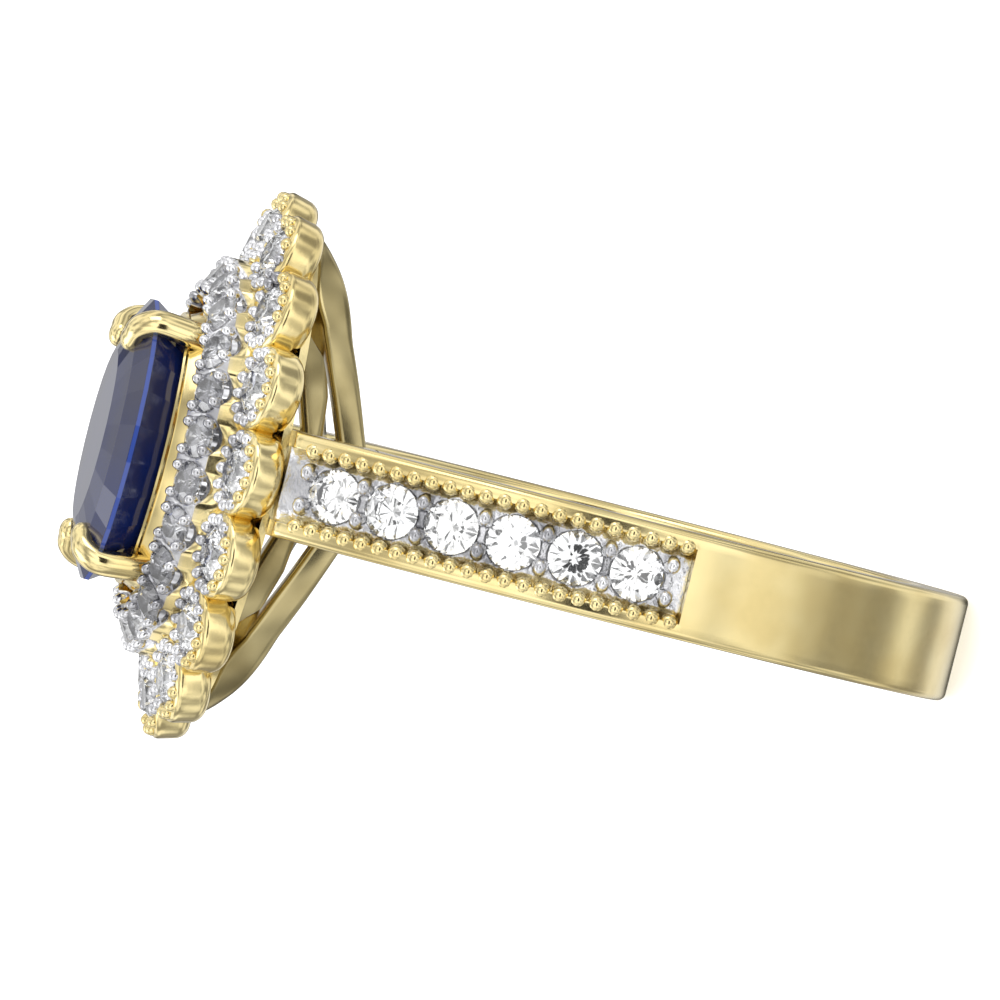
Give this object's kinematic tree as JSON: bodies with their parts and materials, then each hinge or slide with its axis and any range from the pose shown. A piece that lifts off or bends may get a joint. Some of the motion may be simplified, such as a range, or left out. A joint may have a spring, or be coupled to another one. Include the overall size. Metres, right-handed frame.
{
  "type": "engagement ring",
  "caption": "Oval cluster engagement ring: claw-set blue centre stone in two diamond halos, the outer one scalloped, on a gold band with bead-set shoulders.",
  "frame": {"origin": "centre of the finger hole, midway across the band", "axes": "+Y along the finger hole's axis, +Z towards the head and centre stone, X across the shoulders"},
  "size_m": [0.0206, 0.0158, 0.0252],
  "materials": {
    "yellow_gold": "polished yellow gold",
    "rhodium": "bright white rhodium",
    "diamond": "faceted colourless stone",
    "sapphire": "faceted deep blue stone"
  },
  "bodies": {
    "root": {"shank": "yellow_gold", "gallery": "yellow_gold", "halo_frame": "yellow_gold", "centre_setting": "yellow_gold", "bead_plate_right": "rhodium", "bead_plate_left": "rhodium", "inner_halo": "rhodium", "sapphire": "sapphire", "side_diamond_right_1": "diamond", "side_diamond_right_2": "diamond", "side_diamond_right_3": "diamond", "side_diamond_right_4": "diamond", "side_diamond_right_5": "diamond", "side_diamond_right_6": "diamond", "side_diamond_left_1": "diamond", "side_diamond_left_2": "diamond", "side_diamond_left_3": "diamond", "side_diamond_left_4": "diamond", "side_diamond_left_5": "diamond", "side_diamond_left_6": "diamond", "outer_diamond_01": "diamond", "outer_diamond_02": "diamond", "outer_diamond_03": "diamond", "outer_diamond_04": "diamond", "outer_diamond_05": "diamond", "outer_diamond_06": "diamond", "outer_diamond_07": "diamond", "outer_diamond_08": "diamond", "outer_diamond_09": "diamond", "outer_diamond_10": "diamond", "outer_diamond_11": "diamond", "outer_diamond_12": "diamond", "outer_diamond_13": "diamond", "outer_diamond_14": "diamond", "outer_diamond_15": "diamond", "outer_diamond_16": "diamond", "inner_diamond_01": "diamond", "inner_diamond_02": "diamond", "inner_diamond_03": "diamond", "inner_diamond_04": "diamond", "inner_diamond_05": "diamond", "inner_diamond_06": "diamond", "inner_diamond_07": "diamond", "inner_diamond_08": "diamond", "inner_diamond_09": "diamond", "inner_diamond_10": "diamond", "inner_diamond_11": "diamond", "inner_diamond_12": "diamond", "inner_diamond_13": "diamond", "inner_diamond_14": "diamond", "inner_diamond_15": "diamond", "inner_diamond_16": "diamond", "inner_diamond_17": "diamond", "inner_diamond_18": "diamond", "inner_diamond_19": "diamond", "inner_diamond_20": "diamond", "inner_diamond_21": "diamond", "inner_diamond_22": "diamond"}
  },
  "joints": []
}
